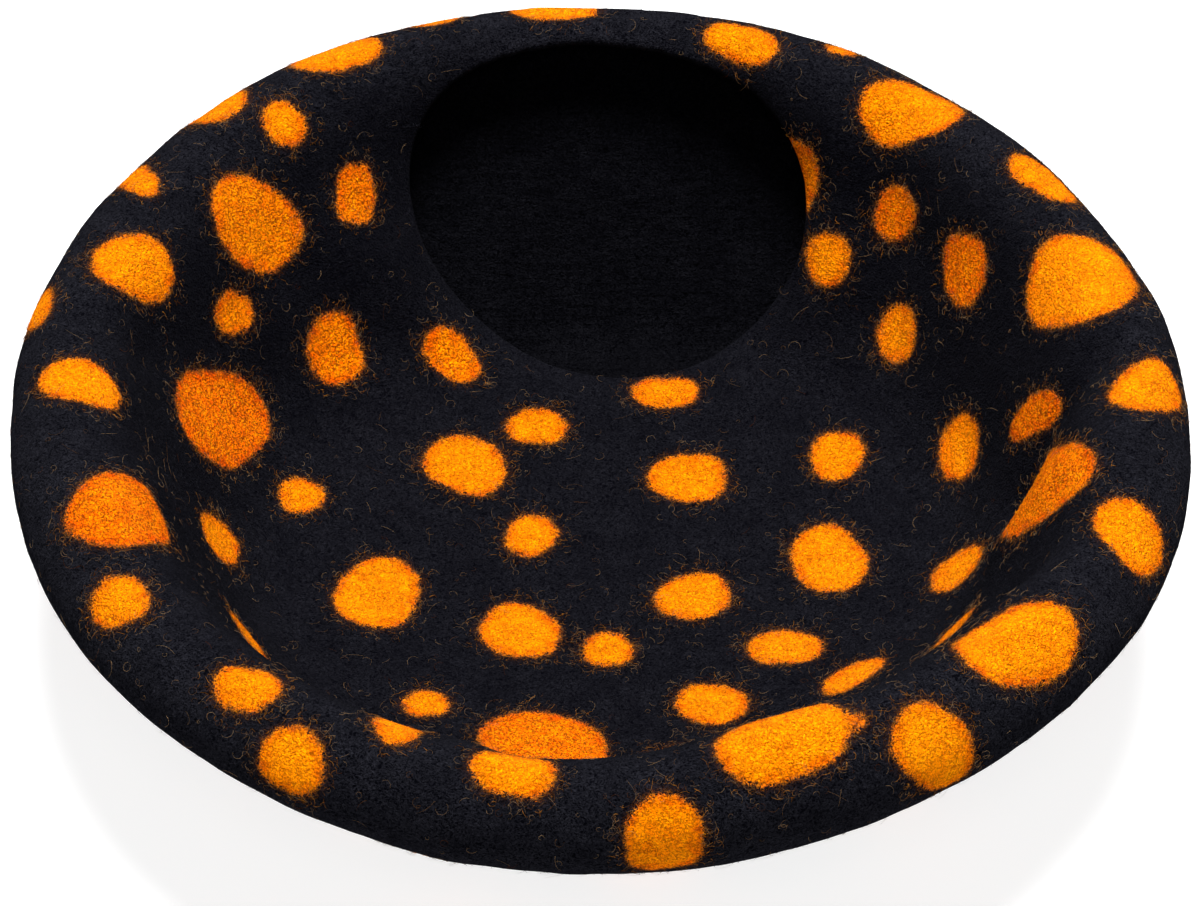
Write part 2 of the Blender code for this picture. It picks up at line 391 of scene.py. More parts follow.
def stops_at(shape, bearings):
    """Radius, height and heading in degrees of each stop of the profile at each bearing."""
    sections = sections_at(bearings).T
    belly_r, belly_z, crest_r, crest_z, wall_r, wall_z, slope, toe_r, toe_z = sections
    same = np.ones_like(belly_r)
    wider = (shape.bed_width / 2 - CHARTED_RADIUS * MM) * same
    floor = 2 * shape.thickness + shape.layer_gap
    stops = (
        (0 * same, 0 * same, 0 * same),
        (FOOT_RADIUS * same, 0 * same, 0 * same),
        (HEEL[0] * same, HEEL[1] * same, HEEL[2] * same),
        (SHOULDER[0] + wider, SHOULDER[1] * same, SHOULDER[2] * same),
        (belly_r * MM + wider, belly_z * MM, 90 * same),
        (crest_r * MM + wider, crest_z * MM, 180 * same),
        (wall_r * MM + wider, wall_z * MM, 180 + slope),
        (toe_r * MM, toe_z * MM, (180 + TOE_SLOPE) * same),
        (0 * same, floor * same, 180 * same),
    )
    return np.array(stops).transpose(1, 2, 0)


def even_points(shape, bearings, rings):
    """Points of the outer face while it is even, on a smooth curve from stop to stop.

    A ring is a stop's place in the profile, and a share of the way to the next one.
    """
    bearings, rings = np.broadcast_arrays(np.asarray(bearings, float), rings)
    stops = stops_at(shape, bearings)
    part = np.minimum(rings.astype(int), LAST_RING - 1)
    t = rings - part
    rows = np.arange(len(rings))
    (r0, z0, out0), (r1, z1, out1) = stops[:, rows, part], stops[:, rows, part + 1]
    reach = np.where(part == 0, r1, ROUNDNESS * np.hypot(r1 - r0, z1 - z0))
    start = (1 + 2 * t) * (1 - t) ** 2
    leave = t * (1 - t) ** 2 * reach
    arrive = t * t * (t - 1) * reach
    out0, out1 = np.radians(out0), np.radians(out1)
    r = start * r0 + (1 - start) * r1 + leave * np.cos(out0) + arrive * np.cos(out1)
    z = start * z0 + (1 - start) * z1 + leave * np.sin(out0) + arrive * np.sin(out1)
    angle = np.radians(bearings)
    return np.stack([r * np.sin(angle), -r * np.cos(angle), z], axis=1)


def profile_at(shape, bearing):
    """Rings from the foot to the middle of the bowl, their points, and mm along the felt."""
    rings = np.linspace(0, LAST_RING, PROFILE_STEPS + 1)
    points = even_points(shape, bearing, rings)
    steps = np.linalg.norm(np.diff(points, axis=0), axis=1) / MM
    along = np.concatenate([[0], np.cumsum(steps)])
    return rings, points, along - np.interp(CREST, rings, along)


def fold_depths(shape, points):
    """How deep the folds press the felt in at each of these points."""
    depths = np.zeros(len(points))
    for fold in FOLDS:
        ends = []
        for bearing, share in ((fold.start, fold.start_at), (fold.end, fold.end_at)):
            steps = LAST_RING - CREST if share > 0 else CREST
            ends.append(even_points(shape, [bearing], np.array([CREST + share * steps]))[0])
        run = ends[1] - ends[0]
        t = np.clip((points - ends[0]) @ run / (run @ run), 0, 1)
        away = np.linalg.norm(points - ends[0] - t[:, None] * run, axis=1) / (fold.width * MM)
        depths += fold.depth * MM * np.exp(-away * away)
    return depths


def wander(points, spacing):
    """Smooth ups and downs from about -1 to 1, with so much space between them."""
    return np.array([noise.noise(Vector(point) / spacing) for point in points])


def normals_of(points, faces):
    """The normal at each point, from the faces round it by their size."""
    a, b, c = (points[faces[:, i]] for i in range(3))
    across = np.cross(b - a, c - a)
    normals = np.zeros_like(points)
    for i in range(3):
        np.add.at(normals, faces[:, i], across)
    return normals / np.maximum(np.linalg.norm(normals, axis=1, keepdims=True), 1e-12)


# ------------------------------------------------------------------------ making the skin


def ball():
    """Points on a unit ball and its triangles."""
    shape = bmesh.new()
    bmesh.ops.create_icosphere(shape, subdivisions=FINENESS, radius=1)
    points = np.array([vert.co for vert in shape.verts])
    faces = np.array([[vert.index for vert in face.verts] for face in shape.faces])
    shape.free()
    return points, faces


class BallToFelt:
    """Lays a unit ball over the even felt, so that its triangles stay much the same size."""

    def __init__(self, shape):
        self.shape = shape
        rings, points, _ = profile_at(shape, TYPICAL_BEARING)
        radii = np.hypot(points[:, 0], points[:, 1])
        steps = np.linalg.norm(np.diff(points, axis=0), axis=1)
        areas = np.cumsum(steps * (radii[1:] + radii[:-1]))
        self.rings = rings
        self.heights = np.concatenate([[0], areas]) / areas[-1] * 2 - 1

    def places(self, directions):
        directions = directions / np.linalg.norm(directions, axis=1, keepdims=True)
        bearings = np.degrees(np.arctan2(directions[:, 0], -directions[:, 1])) % 360
        return bearings, np.interp(directions[:, 2], self.heights, self.rings)

    def points(self, directions):
        return even_points(self.shape, *self.places(directions))


def door_matrix():
    """The entrance's own axes: X along its longer axis, Z square to the back slope."""
    turn = Matrix.Rotation(math.radians(-DOOR_TURN), 4, "Z")
    lean = Matrix.Rotation(math.radians(DOOR_SLOPE), 4, "X")
    return Matrix.Translation(DOOR_MIDDLE) @ lean @ turn


def outside_door(shape, points):
    """1 on the edge that the skin is cut to for the entrance, less inside it, more outside."""
    to_door = np.array(door_matrix().inverted())
    own = points @ to_door[:3, :3].T + to_door[:3, 3]
    half_lip = shape.thickness / 2
    across = own[:, 0] / (shape.door_width / 2 + half_lip - TURN_IN_OPENS)
    up = (own[:, 1] - TURN_IN_OPENS / 2) / (shape.door_height / 2 + half_lip)
    far = (own[:, 2] < -CUT_DEPTH) | (own[:, 2] > CUT_HEIGHT)
    return np.where(far, np.inf, np.hypot(across, up))


def cut_door(shape, lay, directions, faces):
    """Takes out the faces in the entrance and pulls the ones round it up to its edge."""
    inside = outside_door(shape, lay.points(directions)) < 1
    cut = inside[faces].any(axis=1)
    edge = np.unique(faces[cut])
    edge = edge[~inside[edge]]
    pull = np.zeros_like(directions)
    for first, second in ((0, 1), (1, 2), (2, 0)):
        for a, b in ((first, second), (second, first)):
            from_edge = cut & ~inside[faces[:, a]] & inside[faces[:, b]]
            np.add.at(pull, faces[from_edge, a], directions[faces[from_edge, b]])
    out = directions[edge]
    into = pull[edge] / np.linalg.norm(pull[edge], axis=1, keepdims=True)
    for _ in range(CUT_HALVINGS):
        middle = (out + into) / 2
        is_out = (outside_door(shape, lay.points(middle)) >= 1)[:, None]
        out, into = np.where(is_out, middle, out), np.where(is_out, into, middle)
    directions = directions.copy()
    directions[edge] = out / np.linalg.norm(out, axis=1, keepdims=True)
    kept = faces[~cut]
    used, kept = np.unique(kept, return_inverse=True)
    return directions[used], kept.reshape(-1, 3)


def edge_loop(faces):
    """The points round the entrance in order, with the felt on the left of the way."""
    sides = np.concatenate([faces[:, [0, 1]], faces[:, [1, 2]], faces[:, [2, 0]]])
    known = {tuple(side) for side in sides}
    following = {a: b for a, b in known if (b, a) not in known}
    loop = [min(following)]
    while following[loop[-1]] != loop[0]:
        loop.append(following[loop[-1]])
    if len(loop) != len(following):
        raise RuntimeError("the entrance's edge isn't one loop")
    return np.array(loop)


def lip_rings(points, normals, loop, thickness):
    """Rings of points round the soft edge, from the outer face to the inner one."""
    here = points[loop]
    ahead = np.roll(here, -1, axis=0) - np.roll(here, 1, axis=0)
    into_hole = np.cross(normals[loop], ahead)
    into_hole *= -1 / np.linalg.norm(into_hole, axis=1, keepdims=True)
    middle = here - normals[loop] * thickness / 2
    rings = []
    for step in range(1, LIP_STEPS):
        angle = math.pi * step / LIP_STEPS
        offset = math.cos(angle) * normals[loop] + math.sin(angle) * into_hole
        rings.append(middle + offset * thickness / 2)
    return rings


def mesh_from(name, points, faces):
    """A piece made of these points and faces, shaded smooth."""
    mesh = bpy.data.meshes.new(name)
    mesh.from_pydata(points.tolist(), [], faces.tolist())
    mesh.validate()
    mesh.shade_smooth()
    made = bpy.data.objects.new(name, mesh)
    bpy.context.scene.collection.objects.link(made)
    return made


def add_values(piece, name, values):
    """Gives each point of a piece a number that its material can read."""
    layer = piece.data.attributes.new(name, "FLOAT", "POINT")
    layer.data.foreach_set("value", np.asarray(values, np.float32))


def make_skin(settings):
    """The whole skin as one closed mesh, with each point's distance to the nearest dot."""
    shape = settings.shape
    lay = BallToFelt(shape)
    directions, faces = cut_door(shape, lay, *ball())
    bearings, rings = lay.places(directions)
    even = even_points(shape, bearings, rings)
    free = np.minimum(1, even[:, 2] / FLAT_BELOW)
    shift = wander(even, UNEVEN_SPACING) * UNEVEN_HEIGHT - fold_depths(shape, even)
    for height, spacing in LUMPS:
        shift += wander(even, spacing * MM) * height * MM
    from_door = (outside_door(shape, even) - 1) * (shape.door_width + shape.door_height) / 4
    shift -= TURN_IN * np.clip(1 - from_door / TURN_IN_OVER, 0, 1) ** 2
    points = even + normals_of(even, faces) * (shift * free)[:, None]
    normals = normals_of(points, faces)
    loop = edge_loop(faces)
    inner = points - normals * shape.thickness
    lips = lip_rings(points, normals, loop, shape.thickness)
    count, round_count = len(points), len(loop)
    all_points = np.concatenate([points, inner, *lips])
    first_lip = 2 * count + np.arange(round_count)
    rows = [loop, *(first_lip + round_count * i for i in range(len(lips))), loop + count]
    strips = []
    for low, high in zip(rows[:-1], rows[1:]):
        ahead_low, ahead_high = np.roll(low, -1), np.roll(high, -1)
        strips.append(np.stack([ahead_low, low, high], axis=1))
        strips.append(np.stack([ahead_low, high, ahead_high], axis=1))
    all_faces = np.concatenate([faces, faces[:, ::-1] + count, *strips])
    skin = mesh_from("felt_skin", all_points, all_faces)
    dots, thin = dot_distances(shape, even, rings)
    values = (
        ("dot", dots, -float(DOT_MARGIN)),
        # how much each dot is darkened: its thinness, and painted shade
        ("thin", thin, 0.0),
        ("outer", np.ones(count), 0.0),
        # the bowl's painted shade
        ("painted_bowl_shade", np.interp(rings, BOWL_SHADE_AT, BOWL_SHADE), 0.0),
    )
    for name, outside, within in values:
        lip = [outside[loop]] * len(lips)
        add_values(skin, name, np.concatenate([outside, np.full(count, within), *lip]))
    return skin, (points, normals, faces, dots)


# ------------------------------------------------------------------------------- the dots


def all_dots():
    """The charted dots, and those of the rows below them."""
    random = np.random.default_rng(ROW_SEED)
    dots = list(DOTS)
    for row in DOT_ROWS:
        for number in range(row.count):
            width, length = random.uniform(row.smallest, row.largest, 2)
            least = ROW_SLENDEREST * (width + length) / 2
            width, length = np.clip((width, length), least, ROW_WIDEST)
            shift = random.uniform(-ROW_SHIFT, ROW_SHIFT)
            bearing = (row.first + (number + shift) * 360 / row.count) % 360
            along = row.along + random.uniform(-ROW_DRIFT, ROW_DRIFT)
            turn = random.uniform(-ROW_TURN, ROW_TURN)
            dots.append(Dot(bearing, along, width, length, turn, ROW_EGG, ROW_FORM))
    return dots


def dot_distances(shape, points, rings):
    """How far each point is inside the nearest dot, in mm, and how much that dot is darkened
    there: its thinness, and painted shade.
    """
    mean_rings, _, mean_along = profile_at(shape, TYPICAL_BEARING)
    along = np.interp(rings, mean_rings, mean_along)
    nearest = np.full(len(points), -float(DOT_MARGIN))
    thin = np.zeros(len(points))
    for index, dot in enumerate(all_dots()):
        _, profile, own_along = profile_at(shape, dot.bearing)
        place = [np.interp(dot.along, own_along, profile[:, i]) for i in range(3)]
        ahead = [np.interp(dot.along + 1, own_along, profile[:, i]) for i in range(3)]
        inwards = (np.array(ahead) - place) / np.linalg.norm(np.array(ahead) - place)
        angle = math.radians(dot.bearing)
        level = np.array([math.cos(angle), math.sin(angle), 0])
        away = (points - place) / MM
        far = np.linalg.norm(away, axis=1)
        near = far < dot.width + dot.length + DOT_MARGIN
        near &= np.abs(along - dot.along) < DOT_REACH
        x, y, far = away[near] @ level, away[near] @ inwards, far[near]
        stretch = far / np.maximum(np.hypot(x, y), 1e-6)
        turn = math.radians(dot.turn)
        u = (x * math.cos(turn) + y * math.sin(turn)) * stretch
        v = (y * math.cos(turn) - x * math.sin(turn)) * stretch
        wide = dot.width / 2 * (1 - dot.egg * np.clip(v / dot.length * 2, -1, 1))
        size = np.abs(u / wide) ** dot.form + np.abs(v * 2 / dot.length) ** dot.form
        size **= 1 / dot.form
        round_angle = np.arctan2(v, u)
        for waves, share in WAVER:
            size /= 1 + share * np.sin(waves * round_angle + index * waves)
        inside = far * (1 / np.maximum(size, 1e-3) - 1)
        thin[near] = np.where(inside > nearest[near], dot.thin, thin[near])
        nearest[near] = np.maximum(nearest[near], np.minimum(inside, DOT_MARGIN))
    return nearest, thin


# ----------------------------------------------------------------------------- the fibres


def scatter(surface, fuzz, random):
    """Roots spread over the outer face where this kind of fibre grows, and their normals."""
    points, normals, faces, dots = surface
    middle = dots[faces].mean(axis=1)
    a, b, c = (points[faces[:, i]] for i in range(3))
    area = np.linalg.norm(np.cross(b - a, c - a), axis=1)
    area[(middle < fuzz.near) | (middle > fuzz.far)] = 0
    area[points[faces[:, 0], 2] < FUZZ_ABOVE] = 0
    area[normals[faces[:, 0], 2] < UNDERNEATH] *= SPARSER
    chosen = random.choice(len(faces), fuzz.count, p=area / area.sum())
    u, v = random.random((2, fuzz.count, 1))
    u, v = np.where(u + v > 1, 1 - u, u), np.where(u + v > 1, 1 - v, v)
    a, b, c = faces[chosen].T
    roots = points[a] + u * (points[b] - points[a]) + v * (points[c] - points[a])
    up = normals[a] + u * (normals[b] - normals[a]) + v * (normals[c] - normals[a])
    return roots, up / np.linalg.norm(up, axis=1, keepdims=True)


def fibre_paths(roots, up, fuzz, random):
    """The points of each fibre: it lifts off the felt, curls and comes down again."""
    count = len(roots)
    away = random.normal(size=(count, 3))
    forward = away - (away * up).sum(axis=1, keepdims=True) * up
    forward /= np.linalg.norm(forward, axis=1, keepdims=True)
    side = np.cross(up, forward)
    length = random.uniform(fuzz.shortest, fuzz.longest, (count, 1)) * MM
    curl = np.radians(random.uniform(-fuzz.curl, fuzz.curl, (count, 1)))
    lift = np.radians(random.uniform(fuzz.lift * LEAST_LIFT, fuzz.lift, (count, 1)))
    drop = np.radians(random.uniform(-STEEPEST_RISE, fuzz.lift, (count, 1)))
    here = roots - up * fuzz.width * MM
    path = [here]
    for step in range(fuzz.steps):
        share = (step + 0.5) / fuzz.steps
        heading = curl * share
        rise = lift * (1 - share) - drop * share
        flat = np.cos(heading) * forward + np.sin(heading) * side
        here = here + (np.cos(rise) * flat + np.sin(rise) * up) * length / fuzz.steps
        path.append(here)
    return np.stack(path)


def tubes(path, up, width):
    """Closed three-sided tubes along the paths, each tapering to its tip."""
    steps, count = len(path) - 1, path.shape[1]
    rings = []
    for step in range(steps):
        along = path[step + 1] - path[max(step - 1, 0)]
        along /= np.linalg.norm(along, axis=1, keepdims=True)
        side = np.cross(along, up)
        side /= np.maximum(np.linalg.norm(side, axis=1, keepdims=True), 1e-9)
        lift = np.cross(side, along)
        radius = width / 2 * (1 - TAPER * step / steps)
        for corner in range(3):
            angle = math.tau * corner / 3
            rings.append(path[step] + radius * (math.cos(angle) * side + math.sin(angle) * lift))
    rings.append(path[-1])
    points = np.stack(rings, axis=1)
    per_fibre = 3 * steps + 1
    pattern = [(0, 2, 1)]
    for step in range(steps - 1):
        for corner in range(3):
            a, b = 3 * step + corner, 3 * step + (corner + 1) % 3
            pattern += [(a, b, b + 3), (a, b + 3, a + 3)]
    last = 3 * (steps - 1)
    pattern += [(last + corner, last + (corner + 1) % 3, per_fibre - 1) for corner in range(3)]
    faces = np.array(pattern)[None] + (np.arange(count) * per_fibre)[:, None, None]
    return points.reshape(-1, 3), faces.reshape(-1, 3), per_fibre


def make_fuzz(surface, fuzz, seed):
    """One piece with all the fibres of a kind, each with a shade of its own from 0 to 1."""
    random = np.random.default_rng(seed)
    roots, up = scatter(surface, fuzz, random)
    path = fibre_paths(roots, up, fuzz, random)
    path[:, :, 2] = np.maximum(path[:, :, 2], fuzz.width * MM)
    points, faces, per_fibre = tubes(path, up, fuzz.width * MM)
    made = mesh_from(fuzz.name, points, faces)
    add_values(made, "shade", np.repeat(random.random(len(roots)), per_fibre))
    return made


# ------------------------------------------------------------------------------ materials


def add(tree, kind, inputs=(), **settings):
    """Adds a node with its own settings; an input is a value, or a socket to link from."""
    made = tree.nodes.new(kind)
    for name, value in settings.items():
        setattr(made, name, value)
    for key, value in dict(inputs).items():
        if isinstance(value, bpy.types.NodeSocket):
            tree.links.new(value, made.inputs[key])
        else:
            made.inputs[key].default_value = value
    return made


def opaque(colour):
    """A colour with the alpha that a node's colour socket takes as well."""
    return (*colour, 1)


def new_material(name):
    """A material, its nodes, and the shader that they lead to."""
    made = bpy.data.materials.new(name)
    made.use_nodes = True
    tree = made.node_tree
    return made, tree, tree.nodes["Principled BSDF"]


def felt_material(wool):
    """Wet-felted wool: fibres matted by hand into a dense cloth.

    It is matt, with no weave.  Fibres cross at all angles, and those on top catch the light,
    so the black looks finely mottled and the orange looks like a close tangle.  The fibres lie
    a tenth of a millimetre apart, which is too fine to show, so the strands here stand for
    small locks of them, 1.5 to 4 mm apart.
    """
    made, tree, shader = new_material("wet-felted charcoal wool with orange dots")
    place = add(tree, "ShaderNodeTexCoord").outputs["Object"]
    in_mm = add(
        tree, "ShaderNodeVectorMath", {0: place, "Scale": 1 / MM}, operation="SCALE"
    ).outputs["Vector"]

    def cloud(spacing, detail=2.0, distortion=0.0):
        """Noise from 0 to 1 whose features lie so many mm apart."""
        values = {"Vector": in_mm, "Scale": 1 / spacing}
        values.update({"Detail": detail, "Distortion": distortion})
        return add(tree, "ShaderNodeTexNoise", values).outputs["Fac"]

    def maths(operation, first, second=0.0, third=0.0):
        values = {0: first, 1: second, 2: third}
        return add(tree, "ShaderNodeMath", values, operation=operation).outputs[0]

    def ease(value, low, high):
        """0 up to low, 1 from high, and smooth between them."""
        values = {"Value": value, "From Min": low, "From Max": high}
        return add(tree, "ShaderNodeMapRange", values, interpolation_type="SMOOTHSTEP").outputs[0]

    def mix(share, first, second):
        values = {0: share, 6: first, 7: second}
        return add(tree, "ShaderNodeMix", values, data_type="RGBA").outputs[2]

    def strands(spacing, width, detail=1.5, distortion=1.2):
        """Thin wandering lines so many mm apart, 1 on a line."""
        off = maths("ABSOLUTE", maths("SUBTRACT", cloud(spacing, detail, distortion), 0.5))
        return ease(off, width, 0.0)

    dot = add(tree, "ShaderNodeAttribute", attribute_name="dot").outputs["Fac"]
    long_lines = strands(3.2, 0.11)
    short_lines = strands(1.7, 0.15)
    fine_lines = strands(2.3, 0.10, 2.5, 0.6)
    streaks = strands(4.2, 0.035, 2.5, 1.6)
    grain = ease(cloud(1.0, 3.0), 0.33, 0.67)
    patches = ease(cloud(15.0, 2.0), 0.3, 0.7)

    # The edge of a dot wanders by a millimetre, and over 8 mm the orange thins out from a full
    # mat to single fibres on the black.
    edge = maths("ADD", dot, maths("MULTIPLY_ADD", cloud(5.0, 1.0), 2.6, -2.6))
    cover = ease(edge, -4.5, 4.5)
    reach = maths("MULTIPLY", maths("MULTIPLY", cover, cover), 0.3)
    first = maths("ABSOLUTE", maths("SUBTRACT", cloud(2.6, 2.0, 1.2), 0.5))
    second = maths("ABSOLUTE", maths("SUBTRACT", cloud(1.5, 2.0, 0.8), 0.5))
    is_dot = ease(maths("SUBTRACT", reach, maths("MINIMUM", first, second)), -0.012, 0.018)
    is_dot = maths("MULTIPLY", is_dot, ease(edge, -4.5, -3.0))

    # Orange: bright fibres over deeper ones in a tangle of 1 to 2 mm, and dark ones across
    # them, most of all near the edge and where a dot is darkened by its last value: thinner
    # orange, and on the dots in the bowl and on the left rim painted shade.  Past the edge its
    # fibres are golden brown on the black.
    thin = add(tree, "ShaderNodeAttribute", attribute_name="thin").outputs["Fac"]
    near_edge = ease(edge, 9.0, -2.0)
    tone = maths("MULTIPLY_ADD", ease(edge, 8.0, -1.0), 0.4, maths("MULTIPLY", thin, 0.3))
    tone = maths("MULTIPLY_ADD", ease(cloud(6.0, 3.0, 0.6), 0.35, 0.68), 0.45, tone)
    bare_and_shade = maths("MULTIPLY_ADD", patches, 0.3, thin)
    bare_and_shade = maths("MAXIMUM", maths("MULTIPLY", near_edge, 0.7), bare_and_shade)
    bare_and_shade = maths("MINIMUM", bare_and_shade, 1.0)
    depth = maths("MAXIMUM", short_lines, maths("MULTIPLY", fine_lines, grain))
    depth = maths("MULTIPLY", depth, maths("MULTIPLY_ADD", bare_and_shade, 0.6, 0.4))
    orange = mix(maths("MAXIMUM", depth, tone), opaque(wool.orange), opaque(wool.orange_deep))
    dark = maths("MULTIPLY", maths("MAXIMUM", streaks, fine_lines), ease(grain, 0.05, 0.5))
    dark = maths("MULTIPLY", dark, maths("MULTIPLY_ADD", bare_and_shade, 0.35, 0.45))
    orange = mix(dark, orange, opaque(wool.orange_dark))
    fringe = maths("MULTIPLY", ease(edge, 1.5, -3.0), maths("MULTIPLY_ADD", grain, 0.4, 0.6))
    orange = mix(fringe, orange, opaque(wool.brown_orange))
    orange = mix(ease(edge, -1.0, -4.5), orange, opaque(wool.orange_dark))

    # Black: a dark ground with paler wisps, fewer in the bowl, which is painted shade, and a
    # little browner round the dots.
    wisps = maths("MAXIMUM", streaks, maths("MULTIPLY", short_lines, 0.65))
    wisps = maths("MULTIPLY", wisps, maths("MULTIPLY_ADD", grain, 0.5, 0.5))
    wisps = maths("MULTIPLY", wisps, maths("MULTIPLY_ADD", patches, 0.3, 0.6))
    painted_bowl_shade = add(tree, "ShaderNodeAttribute", attribute_name="painted_bowl_shade").outputs["Fac"]
    wisps = maths("MULTIPLY", wisps, maths("SUBTRACT", 1.0, painted_bowl_shade))
    black = mix(wisps, opaque(wool.black), opaque(wool.black_wisp))
    around = maths("MULTIPLY", ease(edge, -7.0, 0.0), wisps)
    black = mix(maths("MULTIPLY", around, 0.5), black, opaque(wool.orange_dark))

    # The face inside the cave is drawn towards plain black, which is painted shade, and wrinkled:
    # level creases 3 mm apart.
    outer = add(tree, "ShaderNodeAttribute", attribute_name="outer").outputs["Fac"]
    black = mix(maths("MULTIPLY_ADD", outer, -0.65, 0.65), black, (0, 0, 0, 1))
    along = add(
        tree,
        "ShaderNodeMapping",
        {"Vector": in_mm, "Rotation": (0, math.radians(-8), 0), "Scale": (0.2, 1, 1)},
    ).outputs[0]
    values = {"Vector": along, "Scale": 1 / 3.4, "Detail": 2.0, "Distortion": 0.4}
    creases = add(tree, "ShaderNodeTexNoise", values).outputs["Fac"]
    creases = maths("MULTIPLY", creases, maths("MULTIPLY_ADD", outer, -4.0, 4.0))

    tree.links.new(mix(is_dot, black, orange), shader.inputs["Base Color"])
    shader.inputs["Roughness"].default_value = 0.95
    shader.inputs["Specular IOR Level"].default_value = 0.0
    shader.inputs["Sheen Weight"].default_value = 0.01
    shader.inputs["Sheen Roughness"].default_value = 0.45
    shader.inputs["Sheen Tint"].default_value = (0.55, 0.55, 0.65, 1)

    # Relief: strands and grain on soft lumps 4.5 mm apart, deeper in the looser orange.
    height = maths("MULTIPLY_ADD", maths("MAXIMUM", long_lines, short_lines), 0.5, grain)
    height = maths("MULTIPLY_ADD", cloud(4.5, 2.0), 2.0, height)
    height = maths("ADD", height, creases)
    height = maths("MULTIPLY", height, maths("MULTIPLY_ADD", is_dot, 0.5, 1.0))
    bump = add(tree, "ShaderNodeBump", {"Strength": 1.0, "Distance": 0.5 * MM, "Height": height})
    tree.links.new(bump.outputs[0], shader.inputs["Normal"])
    return made


def fibre_material(name, dark, light):
    """Loose wool: carded fibres that the felting left standing, so each one shows by itself.

    Each has its own shade between a dark and a light one, with next to no gloss.
    """
    made, tree, shader = new_material(name)
    shade = add(tree, "ShaderNodeAttribute", attribute_name="shade").outputs["Fac"]
    colours = {0: shade, 6: opaque(dark), 7: opaque(light)}
    blend = add(tree, "ShaderNodeMix", colours, data_type="RGBA")
    tree.links.new(blend.outputs[2], shader.inputs["Base Color"])
    shader.inputs["Roughness"].default_value = 0.8
    shader.inputs["Specular IOR Level"].default_value = 0.0
    return made


def fibre_materials(wool):
    """The materials of the loose wool, by the names that FUZZ gives them."""
    return {
        "black": fibre_material("loose charcoal wool", wool.black, wool.black_wisp),
        "brown": fibre_material("loose brown wool", wool.orange_dark, wool.brown),
        "edge": fibre_material("loose brown and orange wool", wool.orange_dark, wool.brown_orange),
        "orange": fibre_material("loose orange wool", wool.orange_dark, wool.orange),
    }


# ------------------------------------------------------------------------------ operators

SKIN_SURFACE = {}  # the skin's outer face, which the fibres grow from


class FELTCAVE_OT_skin(Operator):
    """Lay the skin of wool felt: foot, outer wall, rolled rim and bowl in one piece"""

    bl_idname = "feltcave.skin"
    bl_label = "Felt skin"

    def execute(self, context):
        settings = context.scene.felt_cave
        skin, SKIN_SURFACE["outer"] = make_skin(settings)
        skin.data.materials.append(felt_material(settings.wool))
        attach(skin, "root")
        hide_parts("felt_shell")
        return {"FINISHED"}


class FELTCAVE_OT_fuzz(Operator):
    """Grow the loose fibres: black fuzz, brown curls round the dots and orange fuzz on them"""

    bl_idname = "feltcave.fuzz"
    bl_label = "Loose fibres"

    def execute(self, context):
        settings = context.scene.felt_cave
        materials = fibre_materials(settings.wool)
        for number, fuzz in enumerate(FUZZ):
            piece = make_fuzz(SKIN_SURFACE["outer"], fuzz, settings.seed + number)
            piece.data.materials.append(materials[fuzz.wool])
            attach(piece, "root")
        return {"FINISHED"}


class FELTCAVE_OT_stage(Operator):
    """Set the pale floor, the soft studio light and the camera"""

    bl_idname = "feltcave.stage"
    bl_label = "Stage"

    def execute(self, context):
        look = context.scene.felt_cave.stage
        add_floor()
        add_light(look)
        add_camera(look)
        context.scene.view_settings.view_transform = "Standard"
        return {"FINISHED"}


def add_floor():
    """Matt white paper, rolled and without gloss: it gives a little light, so it shows white."""
    mesh = bpy.data.meshes.new("floor")
    half = FLOOR_HALF_SIZE
    corners = [(-half, -half, 0), (half, -half, 0), (half, half, 0), (-half, half, 0)]
    mesh.from_pydata(corners, [], [(0, 1, 2, 3)])
    floor = bpy.data.objects.new("floor", mesh)
    floor.location.z = -FLOOR_DROP
    bpy.context.scene.collection.objects.link(floor)
    made, tree, shader = new_material("matt white studio paper")
    shader.inputs["Base Color"].default_value = opaque(linear("A8A8A8"))
    shader.inputs["Emission Color"].default_value = (1, 1, 1, 1)
    shader.inputs["Emission Strength"].default_value = 0.80
    shader.inputs["Roughness"].default_value = 0.9
    shader.inputs["Specular IOR Level"].default_value = 0.1
    mesh.materials.append(made)


def add_light(look):
    """A white room, paler round about than overhead, a large soft light above and one in front."""
    world = bpy.data.worlds.new("white room")
    world.use_nodes = True
    tree = world.node_tree
    direction = add(tree, "ShaderNodeTexCoord").outputs["Generated"]
    height = add(tree, "ShaderNodeSeparateXYZ", {0: direction}).outputs["Z"]
    values = {"Value": height, 1: WALLS_UP_TO, 2: CEILING_FROM, 3: look.around, 4: look.overhead}
    strength = add(tree, "ShaderNodeMapRange", values, interpolation_type="SMOOTHSTEP")
    tree.nodes["Background"].inputs["Color"].default_value = (1, 1, 1, 1)
    tree.links.new(strength.outputs[0], tree.nodes["Background"].inputs["Strength"])
    bpy.context.scene.world = world
    add_soft_light("key light", look.key_power, KEY_SIZE, KEY_PLACE)
    add_soft_light("fill light", look.fill_power, FILL_SIZE, FILL_PLACE)


def add_soft_light(name, power, size, place):
    """A round light of this diameter, turned towards the bed."""
    light = bpy.data.objects.new(name, bpy.data.lights.new(name, "AREA"))
    light.data.shape = "DISK"
    light.data.size = size
    light.data.energy = power
    light.location = place
    aim = LIGHTS_AIM - light.location
    light.rotation_euler = aim.to_track_quat("-Z", "Y").to_euler()
    bpy.context.scene.collection.objects.link(light)


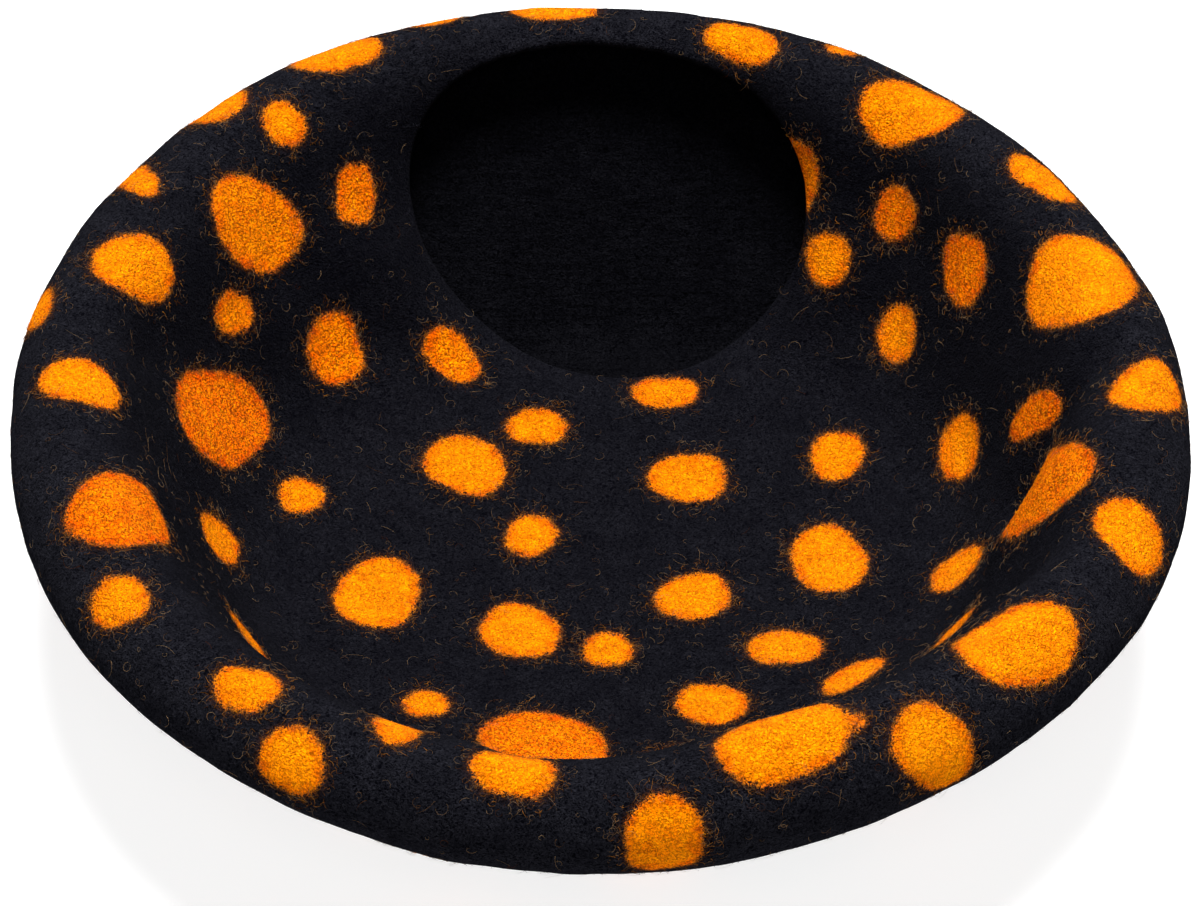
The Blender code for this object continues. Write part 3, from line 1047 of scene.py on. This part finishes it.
def add_camera(look):
    """A camera whose picture has the origin where the photograph has it, at the same scale."""
    camera = bpy.data.objects.new("camera", bpy.data.cameras.new("camera"))
    view = Vector((0, math.cos(look.camera_angle), -math.sin(look.camera_angle)))
    up = Vector((0, math.sin(look.camera_angle), math.cos(look.camera_angle)))
    right = (IMAGE_SIZE[0] / 2 - ORIGIN_PIXEL[0]) / PIXELS_PER_METRE
    higher = (ORIGIN_PIXEL[1] - IMAGE_SIZE[1] / 2) / PIXELS_PER_METRE
    camera.location = Vector((right, 0, 0)) + up * higher - view * look.camera_distance
    camera.rotation_euler = (math.pi / 2 - look.camera_angle, 0, 0)
    camera.data.sensor_width = SENSOR_WIDTH
    seen_width = IMAGE_SIZE[0] / PIXELS_PER_METRE
    camera.data.lens = SENSOR_WIDTH * look.camera_distance / seen_width
    camera.data.clip_end = CLIP_END
    bpy.context.scene.collection.objects.link(camera)
    bpy.context.scene.camera = camera


class FELTCAVE_PT_panel(Panel):
    """The settings, and a button for each step"""

    bl_idname = "FELTCAVE_PT_panel"
    bl_label = "Felt cat cave"
    bl_space_type = "VIEW_3D"
    bl_region_type = "UI"
    bl_category = "Felt cave"

    def draw(self, context):
        settings = context.scene.felt_cave
        for group in (settings.shape, settings.wool, settings.stage):
            box = self.layout.box()
            for name in group.__annotations__:
                box.prop(group, name)
        self.layout.prop(settings, "seed")
        for step in STEPS:
            self.layout.operator(step.bl_idname)


SETTINGS = (FeltShape, WoolColours, StageLook, FeltCaveSettings)
STEPS = (FELTCAVE_OT_skin, FELTCAVE_OT_fuzz, FELTCAVE_OT_stage)
CLASSES = (*SETTINGS, *STEPS, FELTCAVE_PT_panel)


def register():
    for each in CLASSES:
        bpy.utils.register_class(each)
    bpy.types.Scene.felt_cave = PointerProperty(type=FeltCaveSettings)


def unregister():
    del bpy.types.Scene.felt_cave
    for each in reversed(CLASSES):
        bpy.utils.unregister_class(each)


def main():
    """Makes the scene."""
    register()
    bpy.ops.feltcave.skin()
    bpy.ops.feltcave.fuzz()
    bpy.ops.feltcave.stage()


if __name__ == "__main__":
    main()
